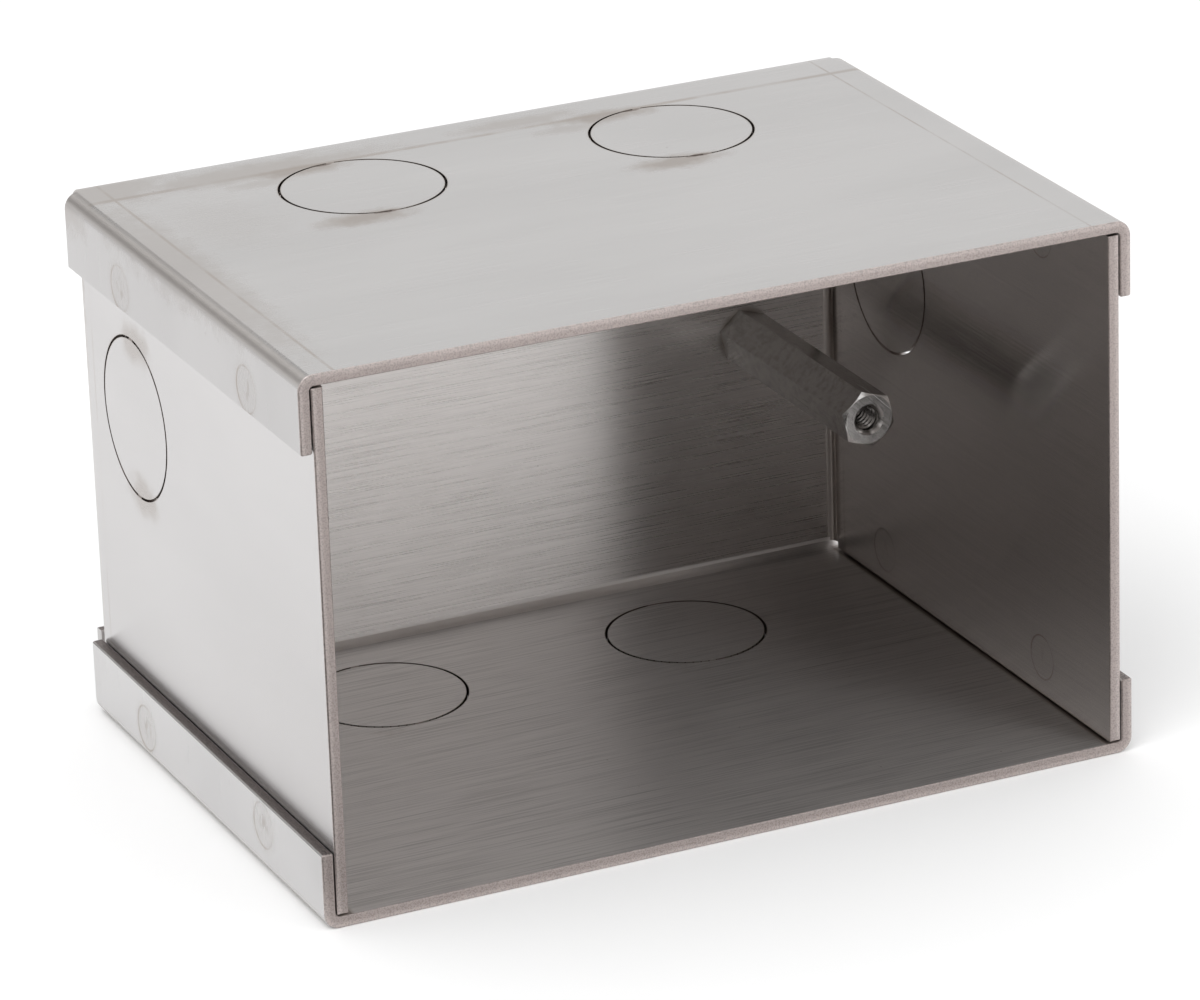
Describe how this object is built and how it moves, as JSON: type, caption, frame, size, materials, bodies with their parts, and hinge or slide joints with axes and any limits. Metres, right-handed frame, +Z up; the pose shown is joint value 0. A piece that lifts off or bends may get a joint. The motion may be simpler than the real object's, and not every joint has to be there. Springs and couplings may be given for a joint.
{
  "type": "electrical back box",
  "caption": "Small open-fronted steel back box with round conduit knockouts and two long tapped standoffs that hold a wall-mounted touch panel.",
  "frame": {"origin": "middle of the flat bottom, where the box stands", "axes": "+X across the box's width, -Y out of its open mouth, +Z up"},
  "size_m": [0.1168, 0.0848, 0.0749],
  "materials": {
    "sheet_steel": "satin mill finish",
    "turned_steel": "bright turned"
  },
  "bodies": {
    "root": {"wall_wrap": "sheet_steel", "top_tray": "sheet_steel", "bottom_tray": "sheet_steel", "standoff_right": "turned_steel", "standoff_left": "turned_steel"}
  },
  "joints": []
}
